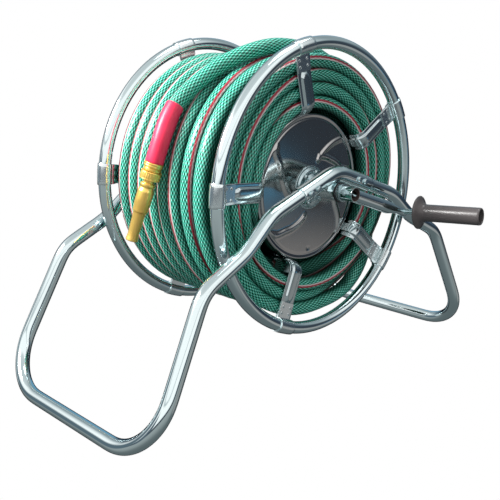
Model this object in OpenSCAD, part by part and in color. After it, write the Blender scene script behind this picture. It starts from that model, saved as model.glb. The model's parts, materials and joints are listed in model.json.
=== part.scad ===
// Free-standing hose reel: a tubular stand of two bent leg loops carries an axle,
// an open drum of five bent straps between two tube rings, a crank with a free-turning
// grip, and a wound garden hose whose end carries a sleeve and a brass twist nozzle.
// X is the reel's axis (crank at +X), -Y is the side the hose end hangs on, +Z is up,
// and the origin lies on the floor straight under the middle of the drum.

/* [Stand] */
// Height of the reel's axis above the floor
hub_h = 287; // [275:1:300]
// Outside diameter of the stand's tube
stand_d = 20; // [19:0.5:20]
// Wall of the stand's tube
stand_wall = 1.2; // [0.8:0.1:2]
// Distance of each floor bar from the axis, front and rear
floor_y = 346; // [330:1:365]
// Half the width of the stand at the floor, to the tube's centre
floor_x = 167; // [160:1:175]
// Bend radius of the floor corners
floor_bend = 72; // [60:1:80]

/* [Axle and bearings] */
// Outside diameter of the axle tube
axle_d = 20; // [19:0.5:20]
// Radial running clearance of the axle in its bushes
bush_gap = 0.08; // [0.02:0.01:0.1]

/* [Drum] */
// Radius of the ring's tube centre
ring_r = 200; // [200:1:206]
// Outside diameter of the ring's tube
ring_d = 18; // [16:0.5:18]
// Position of the ring's tube centre along the axis
ring_x = 121; // [121:0.5:124]
// Radius of the pan-shaped end discs
disc_r = 106.2; // [100:0.1:106.2]
// Width of each strap
strap_w = 27; // [24:1:27]

/* [Crank] */
// Angle of the crank arm below the horizontal at rest
crank_drop = 18.3; // [0:0.1:30]
// Length of the crank arm from the axis to the grip's spindle
crank_len = 127; // [115:1:132]
// Length of the grip
grip_len = 95.5; // [80:0.5:110]
// Diameter of the grip's barrel
grip_d = 25; // [22:0.5:28]

/* [Hose] */
// Outside diameter of the hose
hose_d = 22; // [20:0.5:22]
// Outer radius of the wound hose
pack_r = 187; // [180:1:187]
// Length of the sleeve's straight nozzle, from the sleeve to its tip
nozzle_len = 112; // [105:1:115]

/* [Hidden] */

$fn = 64;
sr = stand_d / 2;
ar = axle_d / 2;
rr = ring_d / 2;
hr = hose_d / 2;
chrome = [0.78, 0.80, 0.82];
zinc = [0.66, 0.69, 0.72];
dark = [0.20, 0.20, 0.21];
brass = [0.80, 0.62, 0.25];
green = [0.05, 0.42, 0.26];
red = [0.80, 0.09, 0.12];
plastic = [0.36, 0.32, 0.32];

// ---- vectors and paths ----
function unit(v) = v / norm(v);
function side_of(z) = unit(cross(abs(z.x) < 0.9 ? [1, 0, 0] : [0, 1, 0], z));

// a frame whose Z runs along d from the point p
module along(p, d) {
  z = unit(d);
  x = side_of(z);
  y = cross(z, x);
  multmatrix([[x.x, y.x, z.x, p.x], [x.y, y.y, z.y, p.y], [x.z, y.z, z.z, p.z], [0, 0, 0, 1]]) children();
}

// the frame of the reel's axis: local z along +X, local x outward at the angle phi,
// which counts from +Y towards +Z
module about_hub(phi = 0)
  translate([0, 0, hub_h]) rotate([0, 90, 0]) rotate([0, 0, phi + 90]) children();

// a straight tube from a to b, run on by lap at each end
module pipe(a, b, ro, ri, lap0 = 0, lap1 = 0)
  along(a - lap0 * unit(b - a), b - a) difference() {
    cylinder(h = norm(b - a) + lap0 + lap1, r = ro);
    if (ri > 0) translate([0, 0, -1]) cylinder(h = norm(b - a) + lap0 + lap1 + 2, r = ri);
  }

function turn_of(a, b, c) = acos(unit(b - a) * unit(c - b));
function cut_of(a, b, c, r) = r * tan(turn_of(a, b, c) / 2);

// one tube bend at the corner b between a and c
module elbow(a, b, c, r, ro, ri) {
  u = unit(b - a);
  n = unit(cross(u, unit(c - b)));
  m = cross(n, u);
  p = b - u * cut_of(a, b, c, r) + m * r;
  x = -m;
  multmatrix([[x.x, u.x, n.x, p.x], [x.y, u.y, n.y, p.y], [x.z, u.z, n.z, p.z], [0, 0, 0, 1]])
    rotate_extrude(angle = turn_of(a, b, c)) translate([r, 0]) difference() {
      circle(r = ro);
      if (ri > 0) circle(r = ri);
    }
}

// a bent tube through the points pts with the bend radii rads at the inner points;
// the bends are a hair fuller than the straights, which run a little way into them
module bent_tube(pts, rads, ro, ri) {
  n = len(pts);
  for (i = [0 : n - 2]) {
    u = unit(pts[i + 1] - pts[i]);
    c0 = i == 0 ? 0 : cut_of(pts[i - 1], pts[i], pts[i + 1], rads[i - 1]);
    c1 = i == n - 2 ? 0 : cut_of(pts[i], pts[i + 1], pts[i + 2], rads[i]);
    pipe(pts[i] + u * c0, pts[i + 1] - u * c1, ro, ri, i == 0 ? 0 : 0.5, i == n - 2 ? 0 : 0.5);
    if (i < n - 2) elbow(pts[i], pts[i + 1], pts[i + 2], rads[i], ro + 0.02, ri > 0 ? ri - 0.02 : 0);
  }
}

// ---- stand ----
// the stand's sides lean: they are narrower at the top
function leg_x(z) = floor_x - 0.0762 * (z - sr);
function leg_pt(x_sign, y, z) = [x_sign * leg_x(z), y, z];
apex_z = hub_h + 27.5;
// side view of a leg, as distance from the axis and height: hand points
leg_prof = [[0, apex_z], [131, hub_h - 17], [180, hub_h - 58], [251, hub_h - 92], [floor_y, sr]];
leg_rads = [60, 60, 45, floor_bend, floor_bend, 45, 60, 60];
leg_gap = 21;      // the tube's end stops this short of the apex, inside the saddle

function leg_side(s, q) = [for (p = leg_prof) leg_pt(q, s * p.x, p.y)];
function leg_path(s) = let (r = leg_side(s, 1), l = leg_side(s, -1))
  concat([r[0] + leg_gap * unit(r[1] - r[0])], [for (i = [1 : 4]) r[i]],
         [for (i = [4 : -1 : 1]) l[i]], [l[0] + leg_gap * unit(l[1] - l[0])]);

// distances of the saddle's screws from the apex, front and rear
screws_front = [53, 68];
screws_rear = [41, 55];
// a frame at a screw: z points out along the screw, away from the reel
module at_screw(q, s, d) {
  a = leg_pt(q, 0, apex_z);
  b = leg_pt(q, s * leg_prof[1].x, leg_prof[1].y);
  u = unit(b - a);
  e = unit([q, 0, 0] - u * (u * [q, 0, 0]));
  along(a + u * d, e) children();
}
module each_screw(q) {
  for (d = screws_front) at_screw(q, -1, d) children();
  for (d = screws_rear) at_screw(q, 1, d) children();
}

module leg_frame(s)
  color(chrome) difference() {
    bent_tube(leg_path(s), leg_rads, sr, sr - stand_wall);
    for (q = [-1, 1], d = s < 0 ? screws_front : screws_rear)
      at_screw(q, s, d) translate([0, 0, -20]) cylinder(h = 40, r = 2.6);
  }
module front_leg_frame() leg_frame(-1);
module rear_leg_frame() leg_frame(1);

// bent sleeve over both leg ends, with the web that holds the bearing housing
saddle_front = 79;
saddle_rear = 75;
saddle_wall = 1.4;
module saddle_path(q, extra, ro) {
  a = leg_pt(q, 0, apex_z);
  f = leg_pt(q, -leg_prof[1].x, leg_prof[1].y);
  b = leg_pt(q, leg_prof[1].x, leg_prof[1].y);
  bent_tube([a + (saddle_front + extra) * unit(f - a), a, a + (saddle_rear + extra) * unit(b - a)], [45], ro, 0);
}
module saddle(q)
  color(chrome) difference() {
    union() {
      saddle_path(q, 0, sr + 0.1 + saddle_wall);
      translate([q * 144.5 - 1.5, 0, 0]) rotate([90, 0, 90]) linear_extrude(3)
        polygon([[-30, hub_h + 13], [-20, hub_h + 4], [-9, hub_h - 4], [9, hub_h - 4], [20, hub_h + 4], [30, hub_h + 13], [22, hub_h + 20], [-22, hub_h + 20]]);
    }
    saddle_path(q, 2, sr + 0.1);
    about_hub() translate([0, 0, q * 144.5 - 10]) cylinder(h = 20, r = 13.02);
    each_screw(q) translate([0, 0, -20]) cylinder(h = 40, r = 2.6);
  }
module saddle_right() saddle(1);
module saddle_left() saddle(-1);

module saddle_screws(q)
  color(zinc) each_screw(q) {
    translate([0, 0, -16.5]) cylinder(h = 28.5, r = 2.4);
    translate([0, 0, sr + 0.1 + saddle_wall]) cylinder(h = 1.6, r = 4.4);
    translate([0, 0, sr + 0.1 + saddle_wall + 1.6]) cylinder(h = 1.4, r1 = 4.4, r2 = 3);
  }
module saddle_screws_right() saddle_screws(1);
module saddle_screws_left() saddle_screws(-1);

module saddle_nuts(q)
  color(zinc) each_screw(q) translate([0, 0, -sr - 0.1 - saddle_wall - 3.6]) difference() {
    cylinder(h = 3.6, r = 4.4, $fn = 6);
    translate([0, 0, -1]) cylinder(h = 6, r = 2.42);
  }
module saddle_nuts_right() saddle_nuts(1);
module saddle_nuts_left() saddle_nuts(-1);

// tubes and rings round the reel's axis, from x0 to x1
module hub_ring(x0, x1, ro, ri)
  about_hub() translate([0, 0, x0]) difference() {
    cylinder(h = x1 - x0, r = ro);
    if (ri > 0) translate([0, 0, -1]) cylinder(h = x1 - x0 + 2, r = ri);
  }
module sided(q) mirror([q < 0 ? 1 : 0, 0, 0]) children();

module bearing_housing(q) color(chrome) sided(q) hub_ring(127, 152, 13, 11.5);
module bearing_housing_right() bearing_housing(1);
module bearing_housing_left() bearing_housing(-1);

module bush(q)
  color(dark) sided(q) difference() {
    union() {
      hub_ring(127, 152.5, 11.48, 0);
      hub_ring(152, 154.5, 14, 0);
    }
    hub_ring(120, 160, ar + bush_gap, 0);
  }
module bush_right() bush(1);
module bush_left() bush(-1);

// ---- axle and crank ----
crank_x = 169.6;
arm_r = 9.5;
arm_dir = [0, cos(crank_drop), -sin(crank_drop)];
hub_at = [crank_x, 0, hub_h];
module on_arm() along(hub_at, arm_dir) children();
stop_x = 161.6;

module axle()
  color(chrome) difference() {
    hub_ring(-172, 180, ar, ar - 1.5);
    on_arm() translate([0, 0, -20]) cylinder(h = 40, r = 3.2);
    translate([-stop_x, 0, hub_h - 20]) cylinder(h = 40, r = 2.6);
  }

module axle_spacer() color(zinc) hub_ring(154.8, 159.9, 12.5, ar + 0.3);
module axle_washer() color(zinc) hub_ring(-156.4, -154.9, 15, ar + 0.3);

module axle_stop_bolt()
  color(zinc) translate([-stop_x, 0, hub_h]) {
    translate([0, 0, -16]) cylinder(h = 26.5, r = 2.4);
    translate([0, 0, ar]) cylinder(h = 3.5, r = 4.6, $fn = 6);
  }
module axle_stop_nut()
  color(zinc) translate([-stop_x, 0, hub_h - ar - 4]) difference() {
    cylinder(h = 4, r = 4.6, $fn = 6);
    translate([0, 0, -1]) cylinder(h = 6, r = 2.42);
  }

// arm: a tube coped to the axle, pressed flat at its far end round the spindle
flat_s = crank_len - 13;     // where the flat end begins
flat_e = crank_len + 8;      // the arm's end
flat_w = 22.4;    // width of the flat end along the axis
flat_h = 11.4;    // its thickness
spin_dir = unit([0.983, 0.165, 0.06]);
spin_at = hub_at + crank_len * arm_dir;
module lozenge(w, h, l) linear_extrude(l) {
  translate([-(w - h) / 2, 0]) circle(d = h);
  translate([(w - h) / 2, 0]) circle(d = h);
  square([w - h, h], center = true);
}
taper_s = flat_s - 22;      // where the tube begins to flatten
module crank_arm()
  color(chrome) difference() {
    union() {
      on_arm() difference() {
        cylinder(h = taper_s + 0.5, r = arm_r);
        translate([0, 0, -1]) cylinder(h = taper_s + 3, r = arm_r - 1.5);
      }
      arm_end_frame() difference() {
        hull() {
          translate([0, 0, taper_s]) cylinder(h = 0.1, r = arm_r + 0.1, $fn = 32);
          translate([0, 0, flat_s]) lozenge(flat_w + 0.2, flat_h + 0.2, 0.1, $fn = 32);
        }
        hull() {
          translate([0, 0, taper_s - 0.2]) cylinder(h = 0.1, r = arm_r - 1.6, $fn = 32);
          translate([0, 0, flat_s - 2]) lozenge(flat_w - 3, flat_h - 3, 0.1, $fn = 32);
        }
      }
      arm_end_frame() translate([0, 0, flat_s - 0.5]) lozenge(flat_w, flat_h, flat_e - flat_s + 0.5);
    }
    hub_ring(crank_x - 30, crank_x + 30, ar + 0.02, 0);
    along(spin_at - 11 * spin_dir, spin_dir) cylinder(h = 80, r = 4.02);
  }
// the arm's own frame: z along the arm, x along the reel's axis
module arm_end_frame() {
  z = arm_dir;
  x = [1, 0, 0];
  y = cross(z, x);
  multmatrix([[x.x, y.x, z.x, hub_at.x], [x.y, y.y, z.y, hub_at.y], [x.z, y.z, z.z, hub_at.z], [0, 0, 0, 1]]) children();
}

module crank_bolt()
  color(zinc) on_arm() {
    translate([0, 0, -ar - 0.2]) cylinder(h = 45, r = 2.95);
    translate([0, 0, -ar - 3.6]) cylinder(h = 3.6, r = 4.8, $fn = 6);
  }
module crank_nut_plug()
  color(zinc) on_arm() translate([0, 0, 18]) difference() {
    cylinder(h = 15, r = 7.97);
    translate([0, 0, -1]) cylinder(h = 17, r = 2.98);
  }

// the spindle runs through the flat end and on inside the grip
grip_t = 29;                         // the grip's back face, from the arm's middle
grip_end = grip_t + grip_len;
module on_spin(t) along(spin_at + t * spin_dir, spin_dir) children();
module grip_spindle()
  color(zinc) {
    on_spin(-10.9) cylinder(h = grip_end - 6 + 10.9, r = 4);
    on_spin(grip_t - 2.1) cylinder(h = 1.8, r = 6.5);
  }
module grip_retainer()
  color(zinc) on_spin(grip_end - 11.5) difference() {
    cylinder(h = 1.4, r = 7.6);
    translate([0, 0, -1]) cylinder(h = 4, r = 4.02);
  }
gr = grip_d / 2;
module grip()
  color(plastic) on_spin(grip_t) difference() {
    rotate_extrude() polygon([[0, 0], [17, 0], [22, 1.2], [24.5, 3.2], [24.5, 4.4], [22, 6], [17, 8.6], [gr + 1.4, 10.8], [gr, 13],
      [gr, grip_len - 1.5], [gr - 0.8, grip_len - 0.4], [gr - 1.8, grip_len], [0, grip_len]]);
    translate([0, 0, -1]) cylinder(h = grip_len + 2, r = 4.08);
    translate([0, 0, grip_len - 12]) cylinder(h = 20, r = gr - 3);
  }

// ---- drum ----
strap_at = [32, 104, 176, 248, 320];
strap_t = 1.6;
strap_face = 116.8;      // outer face of the strap's radial part along the axis
bar_r = 108.9;           // inner face of the strap's crossing bar
bend_r = 14.6;
// cap section: two flat edges and a raised rib between them
module cap_section() polygon([[-strap_w / 2, 0], [-8.5, 0], [-6, 2.6], [6, 2.6], [8.5, 0], [strap_w / 2, 0],
  [strap_w / 2, -strap_t], [7.7, -strap_t], [5.4, 1], [-5.4, 1], [-7.7, -strap_t], [-strap_w / 2, -strap_t]]);
module half_strap() {
  // half of the crossing bar
  multmatrix([[0, -1, 0, bar_r], [1, 0, 0, 0], [0, 0, 1, 0], [0, 0, 0, 1]])
    linear_extrude(strap_face - bend_r) cap_section();
  // quarter bend
  multmatrix([[-1, 0, 0, bar_r + bend_r], [0, 0, 1, 0], [0, 1, 0, strap_face - bend_r], [0, 0, 0, 1]])
    rotate_extrude(angle = 90) translate([bend_r, 0]) rotate(-90) mirror([1, 0]) cap_section();
  // radial part with its rib
  multmatrix([[0, 0, 1, bar_r + bend_r], [1, 0, 0, 0], [0, 1, 0, strap_face], [0, 0, 0, 1]])
    linear_extrude(166.5 - bar_r - bend_r) cap_section();
  // flat end in the clip
  translate([166.5, -strap_w / 2, strap_face - strap_t]) cube([190.2 - 166.5, strap_w, strap_t]);
}
module strap(i)
  color(chrome) about_hub(strap_at[i]) {
    half_strap();
    mirror([0, 0, 1]) half_strap();
  }
// the fourth strap has the hole for the hose anchor's rivet
module strap_1() strap(0);
module strap_2() strap(1);
module strap_3() strap(2);
module strap_4() color(chrome) difference() {
  strap(3);
  rivet_hole();
}
module strap_5() strap(4);

module reel_ring(q)
  color(chrome) about_hub() translate([0, 0, q * ring_x]) rotate_extrude() translate([ring_r, 0]) circle(r = rr);
module ring_right() reel_ring(1);
module ring_left() reel_ring(-1);

// sheet clips wrapped round the ring, with a plate outside the strap and a lip inside it
clip_in = 113.7;      // inner face of the lip
clip_out = 118.3;     // outer face of the plate
module ring_clip()
  rotate([0, 0, -4.3]) rotate_extrude(angle = 8.6) difference() {
    union() {
      translate([ring_r, ring_x]) circle(r = rr + 1.5);
      translate([167, clip_in]) square([26, clip_out - clip_in]);
    }
    translate([ring_r, ring_x]) circle(r = rr + 0.03);
    translate([160, strap_face - strap_t]) square([33.5, strap_t]);
    translate([160, clip_in - 1]) square([26, strap_face - strap_t - clip_in + 1.1]);
  }
module ring_clips(q)
  color(chrome) sided(q) for (phi = strap_at) about_hub(phi) ring_clip();
module ring_clips_right() ring_clips(1);
module ring_clips_left() ring_clips(-1);

module end_disc(q)
  color(zinc) sided(q) about_hub() rotate_extrude()
    polygon([[ar + 0.1, 96.3], [disc_r - 5, 96.3], [disc_r - 2.2, 95.2], [disc_r - 1.2, 92.5], [disc_r - 1.2, 84], [disc_r, 84],
      [disc_r, 93], [disc_r - 1.2, 96.2], [disc_r - 4.5, 97.5], [ar + 0.1, 97.5]]);
module end_disc_right() end_disc(1);
module end_disc_left() end_disc(-1);

module hub_flange(q)
  color(zinc) sided(q) about_hub() difference() {
    rotate_extrude() polygon([[ar + 0.05, 97.52], [31, 97.52], [31.5, 98.2], [30.6, 99.2], [28.5, 99.2], [26.5, 101.6], [15, 103.4], [13, 108],
      [ar + 0.05, 108]]);
    for (k = [0 : 5]) rotate([0, 0, 60 * k + 12]) translate([22, 0, 80]) cylinder(h = 40, r = 2.05);
  }
module hub_flange_right() hub_flange(1);
module hub_flange_left() hub_flange(-1);

module hub_rivets(q)
  color(chrome) sided(q) about_hub() for (k = [0 : 5]) rotate([0, 0, 60 * k + 12]) translate([22, 0, 0]) {
    translate([0, 0, 97.52]) cylinder(h = 7, r = 2);
    translate([0, 0, 103.6]) rotate_extrude() polygon([[0, -0.8], [4, -0.8], [3.6, 0.8], [2.2, 1.9], [0, 2.2]]);
  }
module hub_rivets_right() hub_rivets(1);
module hub_rivets_left() hub_rivets(-1);

// saddle clip that grips the hose's inner end on the fourth strap's bar, held by one rivet
anchor_x = 89.5;
rivet_x = 73;
module hose_anchor()
  color(zinc) difference() {
    about_hub(strap_at[3]) translate([bar_r + strap_t + 11.2, 0, anchor_x]) mirror([0, 0, 1])
      rotate([90, 0, 0]) translate([0, 0, -9]) linear_extrude(18) difference() {
        union() { circle(r = 12.6); translate([-11.1, -12.6]) square([11.1, 25.2]); translate([-11.1, 0]) square([1.6, 22]); }
        circle(r = 11.1);
        translate([-14, -11.1]) square([14, 22.2]);
        translate([-14, -14]) square([2.9, 28]);
      }
    rivet_hole();
  }
module rivet_hole()
  about_hub(strap_at[3]) translate([bar_r - 10, 0, rivet_x]) rotate([0, 90, 0]) cylinder(h = 20, r = 2.05);
module anchor_rivet()
  color(zinc) about_hub(strap_at[3]) translate([0, 0, rivet_x]) rotate([0, 90, 0]) {
    translate([0, 0, bar_r - 4]) cylinder(h = 8.4, r = 2);
    translate([0, 0, bar_r - 4.1]) cylinder(h = 1.4, r = 3.6);
    translate([0, 0, bar_r + strap_t + 1.75]) cylinder(h = 1.1, r = 3.6);
  }

// ---- hose ----
// the wound hose, as one body of its outer shape
pack_x = 115;
pack_i = 111.5;
module hose_pack()
  color(green) about_hub() rotate_extrude() union() {
    translate([pack_i, -pack_x + 14]) square([pack_r - pack_i, 2 * pack_x - 28]);
    translate([pack_i + 14, -pack_x]) square([pack_r - pack_i - 25, 2 * pack_x]);
    for (q = [-1, 1]) {
      translate([pack_i + 14, q * (pack_x - 14)]) circle(r = 14);
      translate([pack_r - 11, q * (pack_x - 11)]) circle(r = 11);
      translate([pack_r - 14.5, q > 0 ? pack_x - 14.5 : -pack_x + 11]) square([14.5, 3.5]);
    }
  }

// the hose's outer end: the last turn leaves the pack low at the rear beside the right
// end, rises over the outer layer, lies on it up the rear and comes over to the front;
// rows of angle from -Y towards +Z, radius from the axis, place along the axis
tail_pts = [[262, 176, 103], [255, 179.5, 102.6], [248, 184, 101], [240, 189.5, 97.5], [232, 194, 93], [224, 197.5, 87.5],
  [216, 197.5, 81.5], [208, 194.5, 75], [200, 195, 68.5], [192, 197.5, 62.5], [184, 198, 57.5], [176, 197, 54], [168, 195, 51.5],
  [158, 194, 50.4], [146, 193.7, 50], [134, 193.7, 50], [122, 193.7, 50], [112, 193.7, 50.2], [102, 193.8, 50.6], [94, 194.2, 50.8],
  [86, 195.5, 50], [80, 197.5, 48], [74, 198, 44], [68, 198, 37.5], [62, 198, 27], [56, 198, 19], [50, 198, 12.5],
  [44, 198.5, 5.5], [38, 199.5, -1]];
sleeve_pts = [[35.5, 200, -2.5], [31, 200.5, -3], [26, 201, -2.5], [21, 201, -2.5], [16, 201, -4.5]];
noz_at = [-6.9, -196.6, hub_h + 41.8];
noz_dir = unit([-0.209, -0.2145, -0.954]);
function polar(p) = [p.z, -p.y * cos(p.x), hub_h + p.y * sin(p.x)];
tail_path = [for (p = tail_pts) polar(p)];
sleeve_path = concat([for (p = sleeve_pts) polar(p)], [noz_at]);

function tangent(p, i) = unit(p[min(i + 1, len(p) - 1)] - p[max(i - 1, 0)]);
function ring_at(c, t, r, n) = let (a = unit(cross([1, 0, 0], t)), b = cross(t, a))
  [for (k = [0 : n - 1]) c + r * (cos(360 * k / n) * a + sin(360 * k / n) * b)];
// a swept tube with flat ends; t0 and t1 set the end directions
module swept(path, r, n, t0, t1) {
  m = len(path);
  pts = [for (i = [0 : m - 1]) each ring_at(path[i], i == 0 ? t0 : i == m - 1 ? t1 : tangent(path, i), r, n)];
  polyhedron(points = pts, convexity = 6, faces = concat(
    [[for (k = [0 : n - 1]) k]],
    [for (i = [0 : m - 2], k = [0 : n - 1]) [i * n + k, (i + 1) * n + k, (i + 1) * n + (k + 1) % n, i * n + (k + 1) % n]],
    [[for (k = [n - 1 : -1 : 0]) (m - 1) * n + k]]));
}
join_dir = unit(sleeve_path[1] - tail_path[len(tail_path) - 1]);
module hose_tail()
  color(green) swept(concat(tail_path, [sleeve_path[0]]), hr, 12, unit(tail_path[1] - tail_path[0]), join_dir);
module hose_sleeve()
  color(red) swept(sleeve_path, 12.5, 12, join_dir, noz_dir);

// ---- nozzle ----
module on_noz(s) along(noz_at + s * noz_dir, noz_dir) children();
// sets of radius and place along the nozzle, turned round its axis
module hose_coupling()
  color(brass) on_noz(0) rotate_extrude()
    polygon([[4.5, 0.02], [12.9, 0.02], [13.3, 0.8], [13.3, 5.6], [12.9, 6.4], [11.4, 6.6], [11.4, 7.6], [12.3, 8], [12.3, 11], [11.8, 11.6], [4.5, 11.6]]);
module coupling_washer()
  color(dark) on_noz(11.7) difference() {
    cylinder(h = 2, r = 10.4);
    translate([0, 0, -1]) cylinder(h = 4, r = 5);
  }
module nozzle_collar()
  color(brass) on_noz(0) difference() {
    rotate_extrude() polygon([[10.6, 12.1], [13.8, 12.1], [14.5, 13], [14.5, 22.6], [13.8, 23.6], [11, 24.4], [7.7, 24.4], [7.7, 21], [10.6, 21]]);
    for (k = [0 : 17]) rotate([0, 0, 20 * k]) translate([14.9, 0, 10]) cylinder(h = 20, r = 0.9);
  }
// hollow stem: flange under the collar, neck, plain stretch for the thread, seal land and closing cone
module nozzle_stem()
  color(brass) on_noz(0) difference() {
    rotate_extrude() polygon([[0, 13.8], [10.3, 13.8], [10.3, 20.8], [7.5, 20.8], [7.5, 50], [7, 51], [7, 60], [6, 62], [5.2, 90], [3.9, 97], [2.5, 99.5], [0, 99.8]]);
    translate([0, 0, 10]) cylinder(h = 56, r = 3.8);
    for (k = [0, 1]) rotate([0, 0, 90 * k]) translate([-10, 0, 66]) rotate([0, 90, 0]) cylinder(h = 20, r = 2.2);
  }
module nozzle_o_ring()
  color(dark) on_noz(46) rotate_extrude() translate([9.15, 0]) circle(r = 1.25);
module nozzle_barrel()
  color(brass) on_noz(0) difference() {
    rotate_extrude() polygon([[7.58, 29], [9.8, 29], [10.4, 29.8], [10.4, 33], [9.6, 34], [9.6, 36], [11.3, 40], [11.4, 60], [10.6, 66], [10.5, 69], [9, 70.4],
      [8.6, 74], [7.9, 92], [7.7, 104], [8.3, 107.5], [8.6, nozzle_len - 1], [8, nozzle_len], [0, nozzle_len], [0, 28], [7.58, 28]]);
    translate([0, 0, 20]) cylinder(h = 24.6, r = 7.58);
    translate([0, 0, 44.5]) cylinder(h = 3, r = 10.45);
    translate([0, 0, 44.5]) cylinder(h = 42, r = 7.62);
    translate([0, 0, 86.4]) cylinder(h = 14, r1 = 7, r2 = 4);
    translate([0, 0, 99]) cylinder(h = nozzle_len, r = 3.2);
    translate([0, 0, nozzle_len - 4]) cylinder(h = 5, r1 = 3.2, r2 = 6.2);
  }

front_leg_frame();
rear_leg_frame();
saddle_right();
saddle_left();
saddle_screws_right();
saddle_screws_left();
saddle_nuts_right();
saddle_nuts_left();
bearing_housing_right();
bearing_housing_left();
bush_right();
bush_left();
axle();
axle_spacer();
axle_washer();
axle_stop_bolt();
axle_stop_nut();
ring_right();
ring_left();
strap_1();
strap_2();
strap_3();
strap_4();
strap_5();
ring_clips_right();
ring_clips_left();
end_disc_right();
end_disc_left();
hub_flange_right();
hub_flange_left();
hub_rivets_right();
hub_rivets_left();
hose_anchor();
anchor_rivet();
crank_arm();
crank_bolt();
crank_nut_plug();
grip_spindle();
grip_retainer();
grip();
hose_pack();
hose_tail();
hose_sleeve();
hose_coupling();
coupling_washer();
nozzle_collar();
nozzle_stem();
nozzle_o_ring();
nozzle_barrel();
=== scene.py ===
"""Looks for the hose reel: one script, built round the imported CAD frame.

X is the reel's axis (crank at +X), -Y the side the hose end hangs on, +Z up.
Sizes in the tables below are millimetres, as in the part's source; K turns them into metres.
"""
import json
import math
import random

import bpy
import bmesh
import numpy as np
from mathutils import Matrix, Vector


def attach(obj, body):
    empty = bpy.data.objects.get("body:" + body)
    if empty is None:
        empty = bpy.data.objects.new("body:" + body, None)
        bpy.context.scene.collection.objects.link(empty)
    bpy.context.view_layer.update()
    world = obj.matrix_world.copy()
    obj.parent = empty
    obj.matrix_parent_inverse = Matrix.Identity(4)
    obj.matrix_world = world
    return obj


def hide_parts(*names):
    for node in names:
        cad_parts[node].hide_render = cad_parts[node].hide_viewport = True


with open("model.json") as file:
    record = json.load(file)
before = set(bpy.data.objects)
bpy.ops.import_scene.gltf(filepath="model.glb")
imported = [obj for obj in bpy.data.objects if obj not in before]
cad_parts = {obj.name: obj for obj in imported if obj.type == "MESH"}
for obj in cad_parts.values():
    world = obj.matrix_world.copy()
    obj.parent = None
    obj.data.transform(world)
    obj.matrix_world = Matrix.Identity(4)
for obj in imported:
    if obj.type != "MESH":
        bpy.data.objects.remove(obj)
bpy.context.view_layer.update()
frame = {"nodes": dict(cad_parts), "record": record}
scene = bpy.context.scene
K = 0.001
HUB = 287.0


# ------------------------------------------------------------------ camera
def make_camera():
    a, e, roll = math.radians(45.169), math.radians(14.224), math.radians(0.613)
    back = Vector((math.sin(a) * math.cos(e), -math.cos(a) * math.cos(e), math.sin(e)))
    right = Vector((math.cos(a), math.sin(a), 0))
    up = back.cross(right)
    r2 = math.cos(roll) * right + math.sin(roll) * up
    u2 = -math.sin(roll) * right + math.cos(roll) * up
    data = bpy.data.cameras.new("camera")
    data.lens = 53.81
    data.sensor_width = 36
    data.clip_start = 0.02
    data.clip_end = 50
    cam = bpy.data.objects.new("camera", data)
    scene.collection.objects.link(cam)
    m = Matrix.Identity(4)
    for i, col in enumerate((r2, u2, back, Vector((0.7892, -0.8064, 0.4620)))):
        for j in range(3):
            m[j][i] = col[j]
    cam.matrix_world = m
    scene.camera = cam


make_camera()


# ------------------------------------------------------------------ small vector helpers
def vec(*p):
    return np.array(p, float)


def unit(v):
    v = np.asarray(v, float)
    return v / np.linalg.norm(v)


def hub_pt(x, r, phi):
    """A point at radius r and angle phi (degrees, +Y towards +Z) round the reel's axis."""
    f = np.radians(phi)
    return np.stack(np.broadcast_arrays(x, r * np.cos(f), HUB + r * np.sin(f)), -1).astype(float)


def smooth01(t):
    t = np.clip(t, 0, 1)
    return t * t * (3 - 2 * t)


class Path:
    """A line through close points, with a frame carried along it without twist."""

    def __init__(self, pts, side=None):
        self.p = np.asarray(pts, float)
        d = np.diff(self.p, axis=0)
        self.s = np.concatenate([[0], np.cumsum(np.linalg.norm(d, axis=1))])
        t = np.gradient(self.p, self.s, axis=0)
        t /= np.linalg.norm(t, axis=1)[:, None]
        t[0], t[-1] = unit(d[0]), unit(d[-1])
        n = np.zeros_like(t)
        first = np.asarray(side, float) if side is not None else (vec(1, 0, 0) if abs(t[0][0]) < 0.9 else vec(0, 1, 0))
        n[0] = unit(first - t[0] * (first @ t[0]))
        for i in range(1, len(t)):
            v = n[i - 1] - t[i] * (n[i - 1] @ t[i])
            n[i] = unit(v)
        self.t, self.n, self.b = t, n, np.cross(t, n)
        self.length = self.s[-1]

    def at(self, s):
        i = int(np.clip(np.searchsorted(self.s, s) - 1, 0, len(self.s) - 2))
        w = (s - self.s[i]) / (self.s[i + 1] - self.s[i])
        c = self.p[i] * (1 - w) + self.p[i + 1] * w
        w = min(max(w, 0), 1)
        return c, unit(self.n[i] * (1 - w) + self.n[i + 1] * w), unit(self.b[i] * (1 - w) + self.b[i + 1] * w)


def line(a, b, side=None):
    return Path([a, b], side)


X_AXIS = line(vec(0, 0, HUB), vec(100, 0, HUB), vec(0, 1, 0))


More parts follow.
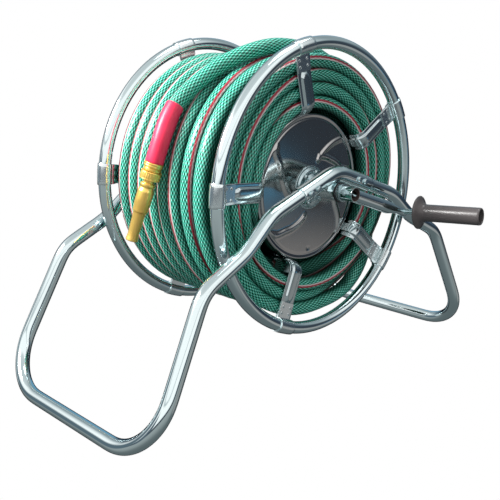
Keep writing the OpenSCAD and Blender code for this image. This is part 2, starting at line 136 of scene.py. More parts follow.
def bent_points(pts, rads, step=2.5, ease=True):
    """The centre line of a bent tube through corner points with the given bend radii."""
    pts = [np.asarray(p, float) for p in pts]
    out = [pts[0]]
    for i in range(1, len(pts) - 1):
        a, b, c = pts[i - 1], pts[i], pts[i + 1]
        u, w = unit(b - a), unit(c - b)
        turn = math.acos(np.clip(u @ w, -1, 1))
        r = rads[i - 1]
        cut = r * math.tan(turn / 2)
        m = np.cross(unit(np.cross(u, w)), u)
        o = b - u * cut + m * r
        k = max(3, int(math.degrees(turn) / step))
        for j in range(k + 1):
            f = turn * j / k
            out.append(o - m * r * math.cos(f) + u * r * math.sin(f))
    out.append(pts[-1])
    # long straights get points in between, so that the frame and the shading stay even
    full = [out[0]]
    for p in out[1:]:
        d = np.linalg.norm(p - full[-1])
        if d < 1e-6:
            continue
        q, k = full[-1], int(d // 25)
        for j in range(1, k + 1):
            full.append(q + (p - q) * j / (k + 1))
        full.append(p)
    if not ease:
        return full
    # real bends begin and end softly
    base = Path(full)
    k = int(base.length / 3)
    even = np.array([base.at(base.length * j / k)[0] for j in range(k + 1)])
    w = np.exp(-0.5 * (np.arange(-6, 7) / 2.2) ** 2)
    w /= w.sum()
    pad = np.concatenate([2 * even[0] - even[6:0:-1], even, 2 * even[-1] - even[-2:-8:-1]])
    return np.stack([np.convolve(pad[:, j], w, "valid") for j in range(3)], 1)


# ------------------------------------------------------------------ mesh helpers
def piece(name, verts, faces, mat, body, slot, sharp=35, nodes=(), smooth=True):
    me = bpy.data.meshes.new(name)
    me.from_pydata((np.asarray(verts, float) * K).tolist(), [], faces)
    me.validate()
    bm = bmesh.new()
    bm.from_mesh(me)
    bmesh.ops.remove_doubles(bm, verts=bm.verts, dist=1e-7)
    bmesh.ops.recalc_face_normals(bm, faces=bm.faces)
    bm.to_mesh(me)
    bm.free()
    me.polygons.foreach_set("use_smooth", [smooth] * len(me.polygons))
    if smooth and sharp:
        me.set_sharp_from_angle(angle=math.radians(sharp))
    me.materials.append(mat)
    o = bpy.data.objects.new(name, me)
    scene.collection.objects.link(o)
    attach(o, body)
    if nodes:
        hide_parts(*nodes)
    return o


class Builder:
    """Collects several closed shells into one piece."""

    def __init__(self):
        self.v, self.f, self.n = [], [], 0

    def add(self, verts, faces):
        verts = np.asarray(verts, float).reshape(-1, 3)
        self.v.append(verts)
        self.f += [[i + self.n for i in f] for f in faces]
        self.n += len(verts)
        return self

    def make(self, *args, **kw):
        return piece(args[0], np.concatenate(self.v), self.f, *args[1:], **kw)


def lathe(path, prof, n=48, mod=None, closed=False):
    """Rings of (place along the path, radius) joined in order; radius 0 is a pole; closed joins the last to the first."""
    verts, rings = [], []
    ang = np.linspace(0, 2 * math.pi, n, endpoint=False)
    ca, sa = np.cos(ang)[:, None], np.sin(ang)[:, None]
    for k, (s, r) in enumerate(prof):
        c, u, w = path.at(s)
        start = len(verts)
        if r <= 1e-6:
            verts.append(c)
            rings.append([start])
        else:
            rr = np.full((n, 1), float(r))
            if mod is not None:
                rr = rr + mod(s, r, ang)[:, None]
            verts.extend(c + rr * (ca * u + sa * w))
            rings.append(list(range(start, start + n)))
    faces = []
    pairs = list(zip(rings[:-1], rings[1:]))
    if closed:
        pairs.append((rings[-1], rings[0]))
    for a, b in pairs:
        if len(a) == 1 and len(b) == 1:
            continue
        for j in range(n):
            j2 = (j + 1) % n
            if len(a) == 1:
                faces.append([a[0], b[j2], b[j]])
            elif len(b) == 1:
                faces.append([a[j], a[j2], b[0]])
            else:
                faces.append([a[j], a[j2], b[j2], b[j]])
    return verts, faces


def rounded(prof, r=0.5, k=3):
    """Rounds the corners of a profile of (s, r) points, except poles and its two ends."""
    out = [prof[0]]
    for i in range(1, len(prof) - 1):
        a, b, c = vec(*prof[i - 1]), vec(*prof[i]), vec(*prof[i + 1])
        la, lc = np.linalg.norm(b - a), np.linalg.norm(c - b)
        if la < 1e-6 or lc < 1e-6:
            continue
        u, w = (b - a) / la, (c - b) / lc
        if u @ w > 0.985:
            out.append(tuple(b))
            continue
        d = min(r, la * 0.45, lc * 0.45)
        p0, p1 = b - u * d, b + w * d
        for j in range(k + 1):
            t = j / k
            q = (1 - t) ** 2 * p0 + 2 * t * (1 - t) * b + t * t * p1
            out.append((q[0], q[1]))
    out.append(prof[-1])
    return out


def wall_tube(path, ro, ri, s0=0.0, s1=None, edge=0.35, n=48):
    """A tube with a wall and softly rounded ends, following the path."""
    s1 = path.length if s1 is None else s1
    inner = [s for s in path.s if s0 + edge + 0.5 < s < s1 - edge - 0.5]
    prof = [(s0 + 0.05, ri)] + [(s0, ri + 0.25), (s0, ro - edge), (s0 + edge * 0.3, ro - edge * 0.3), (s0 + edge, ro)]
    prof += [(s, ro) for s in inner]
    prof += [(s1 - edge, ro), (s1 - edge * 0.3, ro - edge * 0.3), (s1, ro - edge), (s1, ri + 0.25), (s1 - 0.05, ri)]
    prof += [(s, ri) for s in reversed(inner)]
    return lathe(path, prof, n, closed=True)


def prism(poly, x0, x1, to_world, bevel=0.4):
    """A flat plate of polygon poly (2D) between x0 and x1, with softened edges; to_world maps (x, a, b) to a point."""
    poly = np.asarray(poly, float)
    m = len(poly)
    area = 0.5 * sum(poly[i][0] * poly[(i + 1) % m][1] - poly[(i + 1) % m][0] * poly[i][1] for i in range(m))
    sgn = 1 if area > 0 else -1
    inset = []
    for i in range(m):
        a, b, c = poly[i - 1], poly[i], poly[(i + 1) % m]
        u, w = unit(b - a), unit(c - b)
        n1, n2 = vec(-u[1], u[0]) * sgn, vec(-w[1], w[0]) * sgn
        nn = unit(n1 + n2)
        inset.append(b + nn * bevel / max(0.4, nn @ n1))
    inset = np.array(inset)
    rows = [(x0, inset), (x0 + bevel, poly), (x1 - bevel, poly), (x1, inset)]
    verts = [to_world(x, p[0], p[1]) for x, ring in rows for p in ring]
    faces = [list(range(m))[::-1]]
    for k in range(3):
        for i in range(m):
            j = (i + 1) % m
            faces.append([k * m + i, k * m + j, (k + 1) * m + j, (k + 1) * m + i])
    faces.append([3 * m + i for i in range(m)])
    return verts, faces


# ------------------------------------------------------------------ materials
class Mat:
    """A short way to write node materials."""

    def __init__(self, name):
        self.m = bpy.data.materials.new(name)
        self.m.use_nodes = True
        self.t = self.m.node_tree
        self.n = self.t.nodes
        self.n.clear()
        self.out = self.n.new("ShaderNodeOutputMaterial")
        self.b = self.n.new("ShaderNodeBsdfPrincipled")
        self.t.links.new(self.b.outputs[0], self.out.inputs[0])

    def link(self, a, b):
        self.t.links.new(a, b)

    def node(self, kind, **props):
        n = self.n.new(kind)
        for k, v in props.items():
            setattr(n, k, v)
        return n

    def set(self, **vals):
        for k, v in vals.items():
            s = self.b.inputs[k.replace("_", " ")]
            s.default_value = (*v, 1) if isinstance(v, tuple) and len(v) == 3 and s.type == "RGBA" else v
        return self

    def math(self, op, a, b=None, c=None, clamp=False):
        n = self.node("ShaderNodeMath", operation=op, use_clamp=clamp)
        for i, v in enumerate((a, b, c)):
            if v is None:
                continue
            if isinstance(v, (int, float)):
                n.inputs[i].default_value = v
            else:
                self.link(v, n.inputs[i])
        return n.outputs[0]

    def obj(self):
        return self.node("ShaderNodeTexCoord").outputs["Object"]

    def noise(self, scale, detail=3, rough=0.55, vector=None, dist=0.0):
        n = self.node("ShaderNodeTexNoise")
        n.inputs["Scale"].default_value = scale
        n.inputs["Detail"].default_value = detail
        n.inputs["Roughness"].default_value = rough
        n.inputs["Distortion"].default_value = dist
        self.link(vector if vector is not None else self.obj(), n.inputs["Vector"])
        return n.outputs["Fac"]

    def ramp(self, fac, stops, interp="LINEAR"):
        n = self.node("ShaderNodeValToRGB")
        n.color_ramp.interpolation = interp
        els = n.color_ramp.elements
        while len(els) > 1:
            els.remove(els[-1])
        els[0].position = stops[0][0]
        els[0].color = (*stops[0][1], 1)
        for p, c in stops[1:]:
            e = els.new(p)
            e.color = (*c, 1)
        self.link(fac, n.inputs[0])
        return n.outputs[0]

    def mix(self, fac, a, b, kind="MIX"):
        n = self.node("ShaderNodeMix", data_type="RGBA", blend_type=kind)
        if isinstance(fac, (int, float)):
            n.inputs[0].default_value = fac
        else:
            self.link(fac, n.inputs[0])
        for i, v in ((6, a), (7, b)):
            if isinstance(v, tuple):
                n.inputs[i].default_value = (*v, 1)
            else:
                self.link(v, n.inputs[i])
        return n.outputs[2]

    def map(self, v, a, b, c, d, kind="LINEAR"):
        n = self.node("ShaderNodeMapRange", interpolation_type=kind)
        self.link(v, n.inputs[0])
        for i, x in enumerate((a, b, c, d)):
            n.inputs[i + 1].default_value = x
        return n.outputs[0]

    def bump(self, height, strength=0.3, distance=0.001, normal=None):
        n = self.node("ShaderNodeBump")
        n.inputs["Strength"].default_value = strength
        n.inputs["Distance"].default_value = distance
        self.link(height, n.inputs["Height"])
        if normal is not None:
            self.link(normal, n.inputs["Normal"])
        return n.outputs[0]

    def to(self, socket, out):
        self.link(out, self.b.inputs[socket])
        return self


def chrome(name, tint=(0.80, 0.93, 0.95), lo=0.045, hi=0.09, wave=0.012, grime=0.2):
    m = Mat(name).set(Metallic=1.0)
    cloud = m.noise(9, 4)
    fine = m.noise(160, 3)
    m.to("Base Color", m.mix(m.map(cloud, 0.35, 0.75, 0, grime), tint, tuple(c * 0.72 for c in tint)))
    r = m.math("ADD", m.map(cloud, 0.3, 0.7, lo, hi), m.map(fine, 0.45, 0.75, 0, 0.015))
    m.to("Roughness", r)
    m.to("Normal", m.bump(m.noise(26, 2), wave, 0.002))
    return m.m


def satin(name, tint, lo, hi, grain=0.05, metal=1.0):
    m = Mat(name).set(Metallic=metal)
    cloud = m.noise(14, 5, 0.6)
    fine = m.noise(420, 3)
    m.to("Base Color", m.mix(m.map(cloud, 0.3, 0.75, 0, 0.35), tint, tuple(c * 0.6 for c in tint)))
    m.to("Roughness", m.math("ADD", m.map(cloud, 0.25, 0.75, lo, hi), m.map(fine, 0.4, 0.7, 0, 0.06)))
    m.to("Normal", m.bump(m.math("ADD", fine, m.math("MULTIPLY", cloud, 2.0)), grain, 0.0006))
    return m.m


def plastic(name, tint, rough, grain=0.12, coat=0.0, scale=700):
    m = Mat(name).set(Coat_Weight=coat, Coat_Roughness=0.2)
    cloud = m.noise(22, 4)
    fine = m.noise(scale, 2)
    m.to("Base Color", m.mix(m.map(cloud, 0.3, 0.75, 0, 0.5), tint, tuple(c * 0.7 for c in tint)))
    m.to("Roughness", m.math("ADD", m.map(cloud, 0.3, 0.7, rough - 0.05, rough + 0.06), m.map(fine, 0.4, 0.7, -0.03, 0.03)))
    m.to("Normal", m.bump(fine, grain, 0.0003))
    return m.m


def hose_material():
    """Green tube under a mint yarn lattice and a clear glossy skin, with one crimson and white stripe pair.
    The map "route" holds metres along the hose and turns round it."""
    m = Mat("braided_hose")
    uv = m.node("ShaderNodeUVMap", uv_map="route").outputs[0]
    sep = m.node("ShaderNodeSeparateXYZ")
    m.link(uv, sep.inputs[0])
    u, v = sep.outputs[0], sep.outputs[1]
    # lattice: 16 yarns each way round, 25 degrees off the axis; one yarn step is 4.32 mm round the hose
    a = m.math("MULTIPLY", v, 16.0)
    b = m.math("MULTIPLY", u, 0.466 / 0.00432)
    bands = []
    for op in ("ADD", "SUBTRACT"):
        f = m.math("FRACT", m.math(op, a, b))
        d = m.math("ABSOLUTE", m.math("SUBTRACT", f, 0.5))          # 0 on the yarn's middle, 0.5 between yarns
        bands.append(m.map(d, 0.12, 0.26, 1, 0, "SMOOTHSTEP"))
    yarn = m.math("MAXIMUM", bands[0], bands[1])
    cross = m.math("MULTIPLY", bands[0], bands[1])
    blot = m.noise(38, 3)
    painted_glint = m.map(m.noise(560, 2, 0.7), 0.36, 0.64, 0, 1)
    deep = m.mix(m.map(blot, 0.3, 0.7, 0, 1), (0.0005, 0.036, 0.021), (0.001, 0.058, 0.036))
    mint = m.mix(m.map(blot, 0.3, 0.7, 0, 1), (0.010, 0.25, 0.165), (0.026, 0.36, 0.26))
    col = m.mix(yarn, deep, mint)
    # painted glints: random yarn spots and the yarn crossings are lightened towards white-mint as sparkle highlights
    col = m.mix(m.math("MULTIPLY", yarn, m.math("MULTIPLY", painted_glint, 0.35)), col, (0.14, 0.62, 0.47))
    col = m.mix(m.math("MULTIPLY", cross, m.map(painted_glint, 0, 1, 0.45, 0.95)), col, (0.36, 0.86, 0.75))
    # stripe pair: place round the hose in millimetres from the crimson line's edge
    t = m.math("MULTIPLY", m.math("SUBTRACT", m.math("FRACT", m.math("ADD", v, 0.5)), 0.5), 69.1)
    def band(lo, hi, soft=0.25):
        up = m.map(t, lo - soft, lo + soft, 0, 1, "SMOOTHSTEP")
        dn = m.map(t, hi - soft, hi + soft, 1, 0, "SMOOTHSTEP")
        return m.math("MULTIPLY", up, dn)
    red = m.mix(m.math("MULTIPLY", yarn, 0.25), (0.34, 0.012, 0.034), (0.46, 0.10, 0.13))
    col = m.mix(band(-3.1, 0.1), col, red)
    col = m.mix(band(0.3, 2.3), col, (0.66, 0.52, 0.53))
    # the deep grooves between the turns get painted shade: near-black colour, and they are made rougher and less glossy
    at = m.node("ShaderNodeSeparateXYZ")
    m.link(m.obj(), at.inputs[0])
    dz = m.math("SUBTRACT", at.outputs[2], 0.287)
    r = m.math("SQRT", m.math("ADD", m.math("MULTIPLY", at.outputs[1], at.outputs[1]), m.math("MULTIPLY", dz, dz)))
    painted_groove_shade = m.math("MINIMUM", m.map(r, 0.1775, 0.1855, 1, 0, "SMOOTHSTEP"),
                    m.map(m.math("ABSOLUTE", at.outputs[0]), 0.1035, 0.1125, 1, 0, "SMOOTHSTEP"))
    # painted shade: the grooves between the turns are darkened to near-black
    col = m.mix(m.math("MULTIPLY", painted_groove_shade, 0.8), col, (0.0006, 0.012, 0.007))
    m.to("Base Color", col)
    m.to("Roughness", m.math("ADD", m.map(yarn, 0, 1, 0.24, 0.33), m.math("MULTIPLY", painted_groove_shade, 0.3)))
    m.to("Specular IOR Level", m.map(painted_groove_shade, 0, 1, 0.30, 0.08))
    m.to("Coat Weight", m.map(painted_groove_shade, 0, 1, 0.14, 0))
    m.set(Coat_Roughness=0.12)
    h = m.math("ADD", m.math("MULTIPLY", yarn, 0.8), m.math("MULTIPLY", cross, 0.3))
    m.to("Normal", m.bump(h, 0.55, 0.0005))
    return m.m


def sleeve_material():
    m = Mat("heat_shrink_red").set(Coat_Weight=0.1, Coat_Roughness=0.2, Specular_IOR_Level=0.35)
    cloud = m.noise(30, 4)
    m.to("Base Color", m.mix(m.map(cloud, 0.3, 0.7, 0, 1), (0.74, 0.022, 0.075), (0.84, 0.036, 0.105)))
    m.to("Roughness", m.map(cloud, 0.3, 0.7, 0.4, 0.5))
    m.to("Normal", m.bump(m.noise(95, 3), 0.18, 0.0012))
    return m.m


def brass_material():
    m = Mat("brass").set(Metallic=0.86, Coat_Weight=0.3, Coat_Roughness=0.06)
    cloud = m.noise(30, 4, 0.6)
    fine = m.noise(600, 2)
    m.to("Base Color", m.mix(m.map(cloud, 0.35, 0.75, 0, 0.7), (1.0, 0.69, 0.19), (0.96, 0.58, 0.11)))
    m.to("Roughness", m.math("ADD", m.map(cloud, 0.3, 0.7, 0.25, 0.33), m.map(fine, 0.4, 0.7, 0, 0.03)))
    m.to("Normal", m.bump(m.math("ADD", fine, m.noise(90, 2)), 0.03, 0.0006))
    return m.m


def bored():
    """The axle's polished outside and its bore, painted near-black as shade and left rough and non-metallic, told apart
    by the distance from its axis.
    """
    m = Mat("axle_steel")
    sep = m.node("ShaderNodeSeparateXYZ")
    m.link(m.obj(), sep.inputs[0])
    dz = m.math("SUBTRACT", sep.outputs[2], 0.287)
    r = m.math("SQRT", m.math("ADD", m.math("MULTIPLY", sep.outputs[1], sep.outputs[1]), m.math("MULTIPLY", dz, dz)))
    skin = m.map(r, 0.0091, 0.0094, 0, 1)
    # painted shade: the bore is coloured near-black brown
    m.to("Base Color", m.mix(skin, (0.05, 0.032, 0.028), (0.66, 0.77, 0.79)))
    m.to("Metallic", skin)
    m.to("Roughness", m.math("ADD", m.map(skin, 0, 1, 0.6, 0.08), m.map(m.noise(60, 3), 0.3, 0.7, 0, 0.05)))
    return m.m


TUBE = chrome("chrome_tube")
AXLE = bored()
SHEET = chrome("chrome_sheet", (0.58, 0.68, 0.70), 0.11, 0.18, 0.02, 0.3)
PAN = chrome("pan_sheet", (0.50, 0.505, 0.50), 0.10, 0.15, 0.015, 0.3)
CLIP = chrome("clip_sheet", (0.85, 0.945, 0.96), 0.15, 0.22, 0.02, 0.3)
ZINC = satin("zinc", (0.53, 0.66, 0.69), 0.16, 0.28)
BUSH = plastic("bush", (0.016, 0.016, 0.018), 0.42)
GRIP = plastic("grip_plastic", (0.085, 0.076, 0.077), 0.34, 0.16, 0.2)
HOSE = hose_material()
RED = sleeve_material()
BRASS = brass_material()
RUBBER = plastic("seal_rubber", (0.02, 0.02, 0.022), 0.6)

by_slot = {"polished_tube": TUBE, "polished_sheet": SHEET, "zinc_hardware": ZINC, "bush_plastic": BUSH,
           "grip_plastic": GRIP, "hose_pvc": HOSE, "sleeve_pvc": RED, "brass": BRASS, "seal_rubber": RUBBER}
for row in frame["record"]["subparts"]:
    o = frame["nodes"][row["node"]]
    mat = by_slot[row["material_slot"]]
    if row["node"].startswith("ring_clips"):
        mat = CLIP
    o.data.materials.clear()
    o.data.materials.append(mat)

# ------------------------------------------------------------------ hose
# places along the axis of each turn; four layers: towards -X, +X, -X, +X
PLATEAU = [102.5, 65, 33, 0, -34, -68, -102.5,
           -101, -68, -34, 0, 34, 68, 102.5,
           102.5, 73, 44, 14, -15, -45, -74, -102.5,
           -102.5, -80, -57, -34, -11.4, 10.6, 37, 62.6, 101.5]
LAYER_END = [6, 13, 21, 30]
LAYER_R = [120.7, 139.2, 157.4, 176.0]
# the outer end: angle from -Y towards +Z, radius, place along the axis
TAIL = [(262, 176, 103), (255, 179.5, 102.6), (248, 184, 101), (240, 189.5, 97.5), (232, 194, 93), (224, 197.5, 87.5),
        (216, 197.5, 81.5), (208, 194.5, 75), (200, 195, 68.5), (192, 197.5, 62.5), (184, 198, 57.5), (176, 197, 54),
        (168, 195, 51.5), (158, 194, 50.4), (146, 193.7, 50), (134, 193.7, 50), (122, 193.7, 50), (112, 193.7, 50.2),
        (102, 193.8, 50.6), (94, 194.2, 50.8), (86, 195.5, 50), (80, 197.5, 48), (74, 198, 44), (68, 198, 37.5),
        (62, 198, 27), (56, 198, 19), (50, 198, 12.5), (44, 198.5, 5.5), (38, 199.5, -1), (35.5, 200, -2.5), (34.0, 200.2, -2.7)]
SLEEVE = [(35.5, 200, -2.5), (31, 200.5, -3), (26, 201, -2.5), (21, 201, -2.5), (16, 201, -4.5)]
NOZ_AT = vec(-6.9, -196.6, HUB + 41.8)
NOZ_DIR = unit(vec(-0.209, -0.2145, -0.954))
ANCHOR_X, ANCHOR_R = 89.5, 122.4
# roll of the stripe pair round the hose: turns along it, degrees from outward towards +X
ROLL = [(-0.1, 235), (0.08, 228), (0.24, 120), (0.35, 114), (0.55, 100), (0.66, 20), (0.8, -60), (3, -40), (6, -90), (9, -30), (12, 60), (13.15, 95),
        (13.4, 92), (13.47, 20), (13.8, -20), (13.96, 60), (14.05, 95), (14.18, 92), (14.28, 10), (14.55, 10), (14.63, 75),
        (14.8, 78), (14.95, 200), (16, 260), (19, 300), (21.5, 330), (22.811, 348), (23.811, 351), (24.811, 350),
        (25.811, 347), (26.3, 340), (26.811, 334), (27.3, 342), (27.811, 357), (28.3, 385), (28.811, 417), (29.3, 490),
        (29.811, 560), (29.95, 470), (30.05, 430), (30.4, 440), (30.58, 430), (30.66, 380), (30.9, 340), (31.1, 300),
        (31.3, 325), (31.75, 326)]


def plateau_radius(k):
    for layer, end in enumerate(LAYER_END):
        if k <= end:
            return LAYER_R[layer]


def hose_rows():
    """Turns T, with place x and radius R at each."""
    T = np.arange(-0.0196, 31.083, 1 / 360)
    x, R = np.zeros_like(T), np.zeros_like(T)
    for i, t in enumerate(T):
        k = int(math.floor(t))
        f = t - k
        if f > 0.964:
            k, f = k + 1, f - 1
        # the stretch from -0.036 to 0.38 moves from turn k-1's place to turn k's
        if k <= 0:
            x[i] = ANCHOR_X + (PLATEAU[0] - ANCHOR_X) * smooth01((t - 0.03) / 0.22)
            R[i] = LAYER_R[0]
            continue
        s = smooth01((f + 0.036) / 0.416)
        if k == 31:
            x[i], R[i] = 101.5 + 1.5 * smooth01((f + 0.036) / 0.12), LAYER_R[3]
            continue
        if k == 1:
            s = 1.0
        x[i] = PLATEAU[k - 1] + (PLATEAU[k] - PLATEAU[k - 1]) * s
        R[i] = plateau_radius(k - 1) + (plateau_radius(k) - plateau_radius(k - 1)) * s
    # the first turn moves over early, clear of the anchor
    early = (T > 0.79) & (T < 1.2)
    x[early] = PLATEAU[0] + (PLATEAU[1] - PLATEAU[0]) * smooth01((T[early] - 0.80) / 0.172)
    R = R + np.where(T < 6.96, 1.0 * np.cos(np.radians(5 * (248 + 360 * T - 32))), 0) * smooth01((6.96 - T) * 4)
    R = R + (ANCHOR_R - R) * smooth01((0.1 - T) / 0.07)
    tt = np.array([31.083 + (262 - a) / 360 for a, _, _ in TAIL])
    more = np.arange(31.083 + 1 / 360, tt[-1], 1 / 360)
    T2 = np.concatenate([T, more, [tt[-1]]])
    rr = np.interp(T2[len(T):], tt, [r for _, r, _ in TAIL])
    xx = np.interp(T2[len(T):], tt, [q for _, _, q in TAIL])
    x, R = np.concatenate([x, xx]), np.concatenate([R, rr])
    w = np.exp(-0.5 * (np.arange(-9, 10) / 3.4) ** 2)
    w /= w.sum()
    for arr in (x, R):
        pad = np.concatenate([2 * arr[0] - arr[9:0:-1], arr, 2 * arr[-1] - arr[-2:-11:-1]])
        arr[:] = np.convolve(pad, w, "valid")
    return T2, x, R


def build_hose():
    T, x, R = hose_rows()
    rng = random.Random(11)
    # small slow wanders, so that no two turns lie quite alike; none near the anchor or the outer end
    wob = np.zeros_like(T)
    for _ in range(9):
        wob += rng.uniform(-1, 1) * np.sin(2 * math.pi * (T * rng.uniform(0.35, 1.9) + rng.random()))
    fade = smooth01((T - 0.2) * 2) * smooth01((30.2 - T) * 2)
    inner = (np.abs(x) < 96) * 1.0
    inner = np.convolve(np.concatenate([[inner[0]] * 40, inner, [inner[-1]] * 40]), np.ones(81) / 81, "valid")
    x = x + wob * 0.35 * fade * inner
    # rings: closer on the outer layer and the end that lies over it
    pick, last = [0], T[0]
    for i in range(1, len(T)):
        gap = 1 / 60 if T[i] < 21.9 else (1 / 75 if T[i] < 31.0 else 1 / 120)
        if T[i] - last >= gap - 1e-9:
            pick.append(i)
            last = T[i]
    if pick[-1] != len(T) - 1:
        pick.append(len(T) - 1)
    phi = 248 + 360 * T
    allp = hub_pt(x, R, phi)
    tang = np.gradient(allp, axis=0)
    tang /= np.linalg.norm(tang, axis=1)[:, None]
    s_all = np.concatenate([[0], np.cumsum(np.linalg.norm(np.diff(allp, axis=0), axis=1))])
    pick = np.array(pick)
    c, t, s, Tp, ph = allp[pick], tang[pick], s_all[pick], T[pick], np.radians(phi[pick])
    out = np.stack([np.zeros_like(ph), np.cos(ph), np.sin(ph)], -1)
    out -= t * (out * t).sum(1)[:, None]
    out /= np.linalg.norm(out, axis=1)[:, None]
    ax = np.cross(t, out)
    ax *= np.sign(ax[:, 0])[:, None]
    # section: pressed a little flat inside the pack, round at the anchor and on the free end
    rad = np.where(Tp < 21.96, 9.15, 10.4)
    axi = np.where(Tp < 21.96, 12.0, 11.5)
    w = smooth01((0.1 - Tp) / 0.07)
    rad, axi = rad + (10.0 - rad) * w, axi + (10.9 - axi) * w
    w = smooth01((Tp - 21.8) / 0.3)
    rad = np.where(Tp > 1, 9.15 + (10.4 - 9.15) * w, rad)
    axi = np.where(Tp > 1, 12.0 + (11.5 - 12.0) * w, axi)
    w = smooth01((Tp - 31.05) / 0.12)
    rad, axi = rad + (11.0 - rad) * w, axi + (11.0 - axi) * w
    roll = np.interp(Tp, [a for a, _ in ROLL], [b for _, b in ROLL])
    ker = np.hanning(15)
    ker /= ker.sum()
    roll = np.convolve(np.concatenate([[roll[0]] * 7, roll, [roll[-1]] * 7]), ker, "valid")
    n = 22
    al = np.linspace(0, 2 * math.pi, n, endpoint=False)
    verts = (c[:, None, :] + rad[:, None, None] * np.cos(al)[None, :, None] * out[:, None, :]
             + axi[:, None, None] * np.sin(al)[None, :, None] * ax[:, None, :])
    m = len(c)
    flat = verts.reshape(-1, 3)
    faces, uvs, bake = [], [], []
    rows = 22
    per = -(-(m - 1) // rows)
    # which way round gives outward normals
    probe = np.cross(verts[1, 0] - verts[0, 0], verts[0, 1] - verts[0, 0])
    flip = (probe @ out[0]) < 0
    for i in range(m - 1):
        row, q = divmod(i, per)
        v0, v1 = (row + 0.06) / rows, (row + 0.94) / rows
        for k in range(n):
            k2 = (k + 1) % n
            quad = [(i, k, k), (i + 1, k, k), (i + 1, k2, k + 1), (i, k2, k + 1)]
            if flip:
                quad.reverse()
            faces.append([a * n + b for a, b, _ in quad])
            for a, _, kk in quad:
                uvs.append((s[a] * K, kk / n - roll[a] / 360))
                bake.append((0.004 + 0.992 * (q + a - i) / per, v0 + (v1 - v0) * kk / n))
    # end caps
    for idx, i in ((0, 0), (1, m - 1)):
        ring = [i * n + k for k in range(n)]
        forward = (idx == 1) != flip
        faces.append(ring[::-1] if forward else ring)
        for j in (range(n - 1, -1, -1) if forward else range(n)):
            uvs.append((s[i] * K, j / n - roll[i] / 360))
            bake.append((0.5 + 0.004 * math.cos(al[j]) + 0.02 * idx, 0.9985 + 0.001 * math.sin(al[j])))
    me = bpy.data.meshes.new("hose")
    me.from_pydata((flat * K).tolist(), [], faces)
    route = me.uv_layers.new(name="route")
    route.data.foreach_set("uv", np.array(uvs, np.float32).ravel())
    ofb = me.uv_layers.new(name="OFBake")
    ofb.data.foreach_set("uv", np.array(bake, np.float32).ravel())
    me.polygons.foreach_set("use_smooth", [True] * len(me.polygons))
    me.set_sharp_from_angle(angle=math.radians(50))
    me.materials.append(HOSE)
    me.update()
    o = bpy.data.objects.new("hose", me)
    scene.collection.objects.link(o)
    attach(o, "reel")
    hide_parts("hose_pack", "hose_tail")
    print("hose", round(s_all[-1] * K, 2), "m", m, "rings")
    return o, c * K


hose, hose_line = build_hose()


def theta_pt(th, r, x):
    return hub_pt(x, r, 180 - th)


# sleeve over the end of the hose
def build_sleeve():
    ctl = [theta_pt(*p) for p in SLEEVE] + [NOZ_AT]
    ctl = np.array([ctl[0] - (ctl[1] - ctl[0]) * 0.001] + ctl[1:])
    # a smooth curve through the points that ends along the nozzle
    t = np.arange(len(ctl), dtype=float)
    m = np.gradient(ctl, axis=0)
    m[-1] = NOZ_DIR * np.linalg.norm(ctl[-1] - ctl[-2])
    pts = []
    for i in range(len(ctl) - 1):
        for j in range(8):
            w = j / 8
            h0, h1 = 2 * w ** 3 - 3 * w ** 2 + 1, w ** 3 - 2 * w ** 2 + w
            h2, h3 = -2 * w ** 3 + 3 * w ** 2, w ** 3 - w ** 2
            pts.append(h0 * ctl[i] + h1 * m[i] + h2 * ctl[i + 1] + h3 * m[i + 1])
    pts.append(ctl[-1])
    path = Path(pts)
    L = path.length
    prof = [(0.0, 10.6), (0.0, 11.6), (0.25, 12.1), (0.9, 12.4), (2.2, 12.5)]
    prof += [(s, 12.5 + 0.05 * math.sin(s * 0.6)) for s in np.arange(6, L - 5, 4)]
    prof += [(L - 3.0, 12.5), (L - 1.0, 12.4), (L - 0.2, 12.0), (L - 0.05, 11.2), (L - 0.05, 10.6)]
    rng = random.Random(5)
    waves = [(rng.uniform(0.04, 0.12), rng.uniform(1, 4), rng.uniform(0, 6), rng.uniform(0.03, 0.12)) for _ in range(6)]

    def mod(s, r, ang):
        if r < 12.2:
            return np.zeros_like(ang)
        return sum(a * np.sin(int(k) * ang + p + s * q) for a, k, p, q in waves) * 0.5

    b = Builder().add(*lathe(path, prof, 48, mod, closed=True))
    return b.make("sleeve", RED, "reel", "sleeve_pvc", sharp=40, nodes=("hose_sleeve",))


sleeve = build_sleeve()

# ------------------------------------------------------------------ brass nozzle
NOZ = line(NOZ_AT, NOZ_AT + NOZ_DIR * 100)


def turned(name, prof, mat, body, slot, nodes, n=64, r=0.35, mod=None, path=NOZ, closed=True, sharp=32):
    """prof: (radius, place) points of a closed outline, as in the part's source."""
    pts = [(s, rad) for rad, s in prof]
    if closed:
        ring = pts + [pts[0], pts[1]]
        out = rounded([pts[-1]] + ring, r)[1:]
        # drop the doubled tail
        keep = []
        for p in out:
            if not keep or math.dist(p, keep[-1]) > 1e-4:
                keep.append(p)
        while len(keep) > 2 and math.dist(keep[0], keep[-1]) < 1e-3:
            keep.pop()
        seen, uniq = set(), []
        for p in keep:
            key = (round(p[0], 4), round(p[1], 4))
            if key in seen:
                continue
            seen.add(key)
            uniq.append(p)
        v, f = lathe(path, uniq, n, mod, closed=True)
    else:
        v, f = lathe(path, rounded(pts, r), n, mod)
    return Builder().add(v, f).make(name, mat, body, slot, sharp=sharp, nodes=nodes)


coupling = turned("coupling_turned", [(4.5, 0.02), (12.7, 0.02), (13.3, 0.8), (13.3, 2.6), (12.9, 3.2), (13.3, 3.8), (13.3, 5.6), (12.9, 6.4), (11.4, 6.6),
                                      (11.4, 7.6), (12.3, 8), (12.3, 11), (11.8, 11.6), (4.5, 11.6)],
                  BRASS, "reel", "brass", ("hose_coupling",))


def knurl(s, r, ang):
    if r < 13.6 or not 14.2 < s < 21.9:
        return np.zeros_like(ang)
    return 0.42 * (np.abs(((ang * 30 / math.pi) % 2) - 1) - 1)


